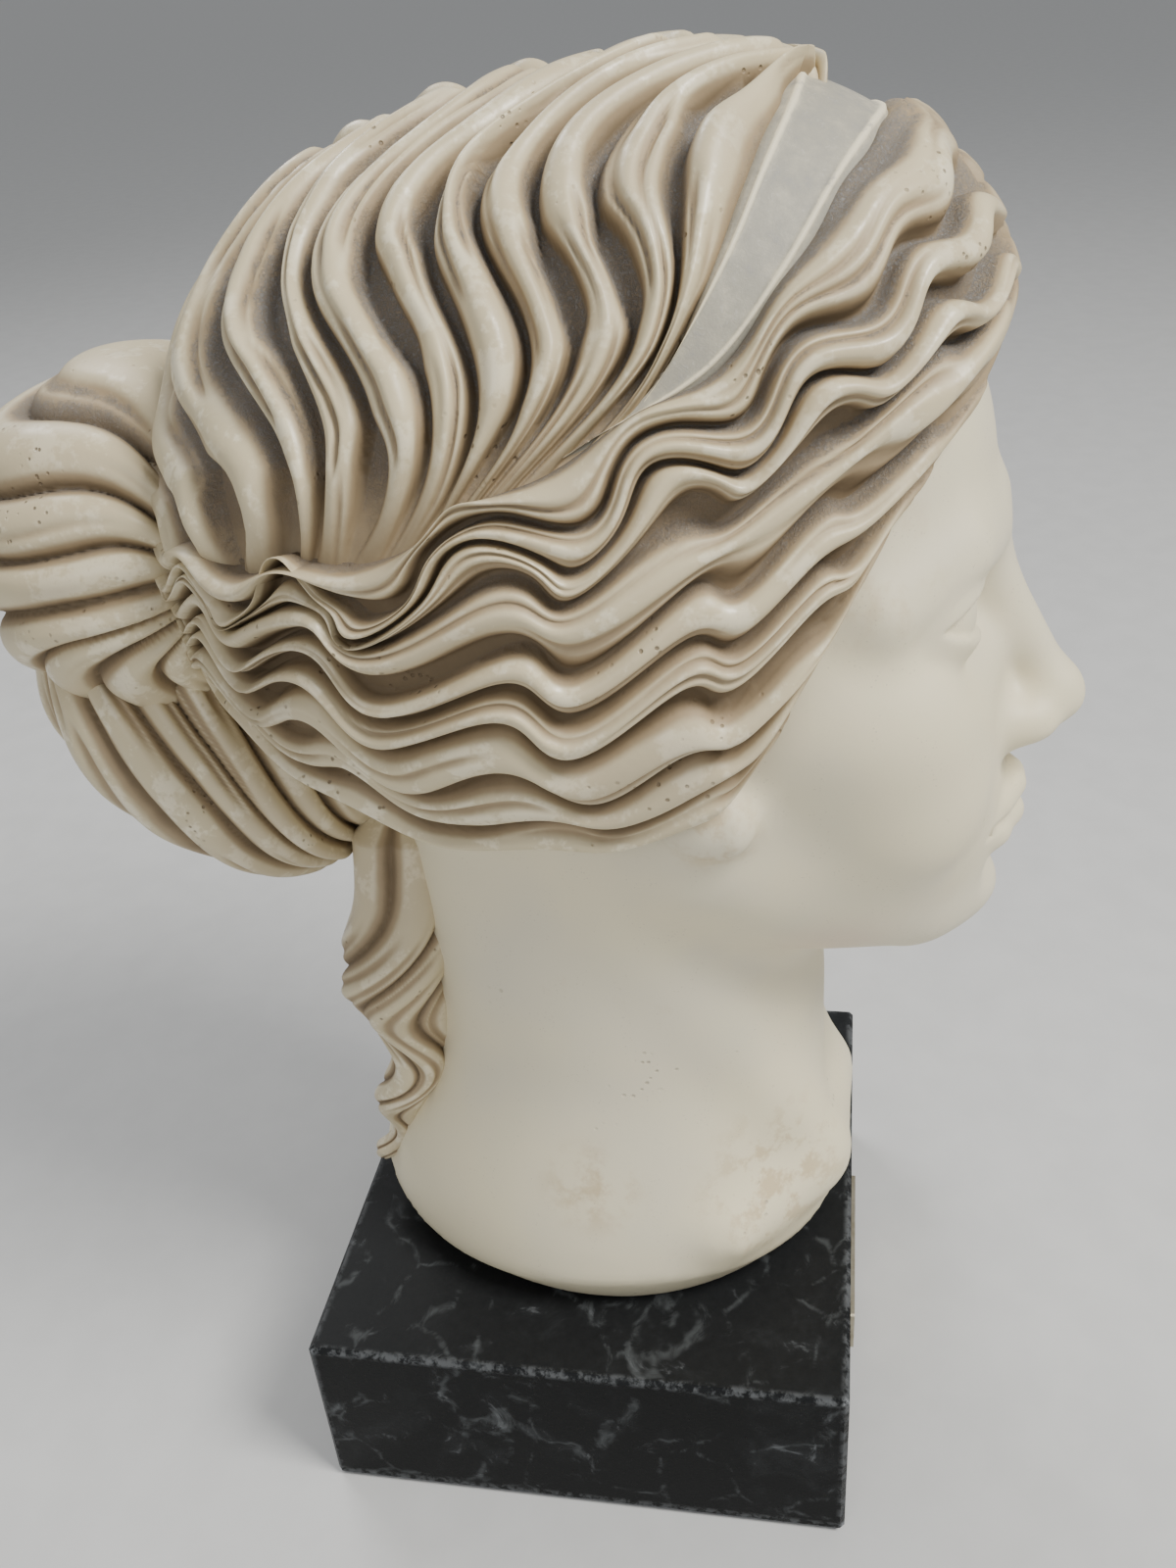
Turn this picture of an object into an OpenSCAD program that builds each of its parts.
// Classical portrait head, cast in plaster, standing on a marble plinth.
//
// The head faces -Y, +Z is up, and the origin is the centre of the surface that the piece stands on.
// The casting is held by one M8 stud: the stud screws into a nut cast into the neck, passes down through
// the plinth, and is drawn up from below by a washer and a nut sunk in a counterbore. A felt sheet covers
// the underside, and a small blank name plate is glued to the front of the plinth.

/* [Plinth] */
// Width of the marble block, across the shoulders
plinth_w = 126; // [110:1:160]
// Depth of the marble block, front to back
plinth_d = 120; // [118:1:160]
// Height of the marble block
plinth_h = 45; // [36:1:70]
// Width of the worn chamfer on its upright and top edges
plinth_chamfer = 1; // [0.4:0.1:2.5]

/* [Felt] */
// Thickness of the felt sheet under the plinth
felt_t = 1.5; // [1:0.5:3]
// How far the felt stops short of each side
felt_margin = 2; // [1:0.5:6]

/* [Name plate] */
// Length of the plate
plate_w = 46; // [30:1:80]
// Height of the plate
plate_h = 12; // [8:1:24]
// Thickness of the plate
plate_t = 1.5; // [0.8:0.1:2.5]
// Radius of its corners
plate_corner = 1.2; // [0.5:0.1:3]

/* [Casting] */
// Height of the casting, from the plinth to the crown
bust_h = 250.5; // [230:0.5:270]
// Widest part of the hair, from side to side
hair_w = 134; // [124:1:144]
// Height of the bevel cut under the edge of the neck
foot_bevel_h = 9; // [4:1:14]
// How far that bevel is undercut
foot_bevel_in = 5; // [2:0.5:8]

/* [Fixing] */
// Major diameter of the stud
stud_d = 8; // [6:1:8]
// Length of the stud
stud_l = 72; // [66:1:76]
// Diameter of the hole through the plinth
stud_hole_d = 10; // [9:0.5:12]
// Diameter of the counterbore under the plinth
counterbore_d = 28; // [27:1:36]
// Depth of the counterbore
counterbore_h = 13; // [12:0.5:16]

/* [Hidden] */

plaster = "#ded5bf";
black_marble = "#26282a";
zinc = "#b9bcc0";
brass = "#b08d4f";
felt_green = "#24402f";

plinth_top = felt_t + plinth_h;
crown_z = plinth_top + bust_h;

// M8 hardware
thread_gap = 0.05;
nut_af = 13;
nut_h = 6.5;
washer_d = 24;
washer_hole_d = 8.4;
washer_t = 2;
anchor_af = 13;
anchor_h = 24;
anchor_gap = 0.1;
anchor_z = plinth_top + 8;
seat_z = felt_t + counterbore_h;
stud_z = seat_z - washer_t - nut_h - 2;

// Sampling of the casting's skin: the sides crowd together at the front and the back of the head
skin_sides = 56;
skin_rings = 52;
crowding = 13;

// The masses of the head, blocked in as ellipsoids: [centre x, y, z, radius x, y, z].
// Heights are below the crown, so that they follow bust_h; widths follow hair_w.
wide = hair_w / 134;
masses = [
    [0, 0, -77, 65, 76, 74],      // cranium under its cap of hair
    [0, -22, -44, 50, 54, 44],    // hair piled over the brow
    [-41, -12, -90, 26, 50, 36],  // side hair, right
    [41, -12, -90, 26, 50, 36],   // side hair, left
    [0, -44, -107, 47, 48, 64],   // face
    [0, -62, -150, 25, 27, 22],   // chin
    [-22, -30, -138, 24, 40, 26], // jaw, right
    [22, -30, -138, 24, 40, 26],  // jaw, left
    [0, -72, -112, 17, 31, 27],   // nose
    [0, 40, -104, 52, 42, 50],    // hair swept back into the chignon
    [0, 82, -101, 44, 36, 58],    // chignon
    [0, 44, -194, 22, 22, 54],    // loose lock on the nape
];

// Neck: a half-width and half-depth that flare into the foot
neck_x = 38;
neck_y = 44;
neck_axis_y = -5;
foot_x = 47;
foot_y = 58;
foot_axis_y = -1;
flare_h = 52;
blend_power = 18;

function smooth(t) = let (k = max(0, min(1, t))) k * k * (3 - 2 * k);

// The axis that the skin is drawn around leans forward under the crown
lean = -22;
lean_h = 60;
function axis_y(z) = lean * smooth(1 - (crown_z - z) / lean_h);

// Where a ray from the axis leaves an ellipse of half-axes a, b centred on (cx, cy), the section of a
// mass. Where a mass stands clear of the axis, rays that only graze it fall short, so that its flanks slope.
flank = 0.5;
function ray_out(cx, cy, a, b, t) =
    let (p = sin(t) / a, q = cos(t) / b, u = cx / a, v = cy / b,
         aa = p * p + q * q, bb = p * u + q * v, cc = u * u + v * v - 1,
         disc = bb * bb - aa * cc)
    disc <= 0 ? 0 : max(0, (bb + sqrt(disc)) / aa) * (cc < 0 ? 1 : smooth(disc / (flank * aa)));

function mass_out(m, z, t) =
    let (h = (z - crown_z - m[2]) / m[5])
    abs(h) >= 1 ? 0 :
    let (k = sqrt(1 - h * h)) ray_out(m[0] * wide, m[1] - axis_y(z), m[3] * wide * k, m[4] * k, t);

// The neck stops inside the head
neck_top = crown_z - 130;
function flare(z) = 1 - smooth((z - plinth_top - foot_bevel_h) / flare_h);
function bevel(z) = foot_bevel_in * max(0, 1 - (z - plinth_top) / foot_bevel_h);
function neck_out(z, t) =
    z > neck_top ? 0 :
    ray_out(0, neck_axis_y + (foot_axis_y - neck_axis_y) * flare(z),
            neck_x + (foot_x - neck_x) * flare(z) - bevel(z),
            neck_y + (foot_y - neck_y) * flare(z) - bevel(z), t);

// Angle t runs from +Y towards +X. The power mean rounds the valleys between masses.
function skin_out(z, t) =
    pow(pow(neck_out(z, t), blend_power) + mass_sum(z, t, 0), 1 / blend_power);
function mass_sum(z, t, i) =
    i == len(masses) ? 0 : pow(mass_out(masses[i], z, t), blend_power) + mass_sum(z, t, i + 1);

// Rings are closer together near the crown, and one of them runs along the foot's widest edge
cap_h = 0.6;
ring_zs = concat(
    [plinth_top, plinth_top + foot_bevel_h],
    [for (i = [1:skin_rings])
        let (f = i / skin_rings) plinth_top + foot_bevel_h
            + (bust_h - foot_bevel_h - cap_h) * (0.72 * f + 0.28 * sin(90 * f))]);

function side_angle(k) = let (even = 360 * k / skin_sides) even - crowding * sin(2 * even);

// Each pass eases a radius towards those of its neighbours; the foot and the crown stay as they are
smoothing_passes = 2;
function eased(table, passes) =
    passes == 0 ? table :
    eased([for (j = [0:len(table) - 1])
        j < 3 || j > len(table) - 3 ? table[j] :
        [for (k = [0:skin_sides - 1])
            let (before = (k + skin_sides - 1) % skin_sides, after = (k + 1) % skin_sides)
            (2 * table[j][k] + table[j][before] + table[j][after] + table[j - 1][k] + table[j + 1][k]) / 6]],
        passes - 1);

module casting_skin() {
    radii = eased([for (z = ring_zs) [for (k = [0:skin_sides - 1]) skin_out(z, side_angle(k))]], smoothing_passes);
    last = len(ring_zs) - 1;
    rings = [for (j = [0:last])
        [for (k = [0:skin_sides - 1])
            let (t = side_angle(k), r = radii[j][k]) [r * sin(t), axis_y(ring_zs[j]) + r * cos(t), ring_zs[j]]]];
    points = concat([[0, 0, plinth_top]], [for (ring = rings) for (p = ring) p], [[0, lean, crown_z]]);
    foot = [for (k = [0:skin_sides - 1]) [0, 1 + k, 1 + (k + 1) % skin_sides]];
    sides = [for (j = [0:last - 1]) for (k = [0:skin_sides - 1])
        let (a = 1 + j * skin_sides + k, b = 1 + j * skin_sides + (k + 1) % skin_sides,
             c = a + skin_sides, d = b + skin_sides)
        for (face = [[a, c, b], [b, c, d]]) face];
    crown = [for (k = [0:skin_sides - 1])
        [len(points) - 1, 1 + last * skin_sides + (k + 1) % skin_sides, 1 + last * skin_sides + k]];
    polyhedron(points, concat(foot, sides, crown));
}

module bust() {
    color(plaster)
    difference() {
        casting_skin();
        translate([0, 0, anchor_z])
            cylinder(h = anchor_h, d = across_corners(anchor_af) + 2 * anchor_gap, $fn = 6);
        translate([0, 0, plinth_top - 1])
            cylinder(h = anchor_z - plinth_top + 2, d = stud_hole_d, $fn = 48);
    }
}

function across_corners(af) = af / cos(30);

module hex_nut(af, h) {
    difference() {
        cylinder(h = h, d = across_corners(af), $fn = 6);
        translate([0, 0, -1]) cylinder(h = h + 2, d = stud_d + 2 * thread_gap, $fn = 48);
    }
}

module anchor_nut() {
    color(zinc) translate([0, 0, anchor_z]) hex_nut(anchor_af, anchor_h);
}

module fixing_nut() {
    color(zinc) translate([0, 0, seat_z - washer_t - nut_h]) hex_nut(nut_af, nut_h);
}

module washer() {
    color(zinc) translate([0, 0, seat_z - washer_t]) difference() {
        cylinder(h = washer_t, d = washer_d, $fn = 64);
        translate([0, 0, -1]) cylinder(h = washer_t + 2, d = washer_hole_d, $fn = 48);
    }
}

// The thread is drawn at its major diameter, with the ends chamfered
module stud() {
    end = 1;
    r = stud_d / 2;
    color(zinc) translate([0, 0, stud_z]) rotate_extrude($fn = 48)
        polygon([[0, 0], [r - end, 0], [r, end], [r, stud_l - end], [r - end, stud_l], [0, stud_l]]);
}

// The block's plan with its corners cut back by c
module plinth_plan(c) {
    w = plinth_w / 2;
    d = plinth_d / 2;
    polygon([[-w + c, -d], [w - c, -d], [w, -d + c], [w, d - c], [w - c, d], [-w + c, d], [-w, d - c], [-w, -d + c]]);
}

module plinth() {
    c = plinth_chamfer;
    color(black_marble) translate([0, 0, felt_t]) difference() {
        union() {
            linear_extrude(plinth_h - c) plinth_plan(c);
            hull() {
                translate([0, 0, plinth_h - c - 0.01]) linear_extrude(0.01) plinth_plan(c);
                translate([-plinth_w / 2 + c, -plinth_d / 2 + c, plinth_h - 0.01])
                    cube([plinth_w - 2 * c, plinth_d - 2 * c, 0.01]);
            }
        }
        translate([0, 0, -1]) cylinder(h = plinth_h + 2, d = stud_hole_d, $fn = 48);
        translate([0, 0, -1]) cylinder(h = counterbore_h + 1, d = counterbore_d, $fn = 64);
    }
}

module name_plate() {
    x = plate_w / 2 - plate_corner;
    z = plate_h / 2 - plate_corner;
    middle_z = felt_t + 16;
    color(brass) translate([0, -plinth_d / 2, middle_z]) rotate([90, 0, 0]) union() {
        translate([-x, -plate_h / 2, 0]) cube([2 * x, plate_h, plate_t]);
        translate([-plate_w / 2, -z, 0]) cube([plate_w, 2 * z, plate_t]);
        for (sx = [-1, 1], sz = [-1, 1])
            translate([sx * x, sz * z, 0]) cylinder(h = plate_t, r = plate_corner, $fn = 32);
    }
}

module felt_sheet() {
    color(felt_green)
        translate([-plinth_w / 2 + felt_margin, -plinth_d / 2 + felt_margin, 0])
            cube([plinth_w - 2 * felt_margin, plinth_d - 2 * felt_margin, felt_t]);
}

bust();
anchor_nut();
stud();
plinth();
washer();
fixing_nut();
name_plate();
felt_sheet();
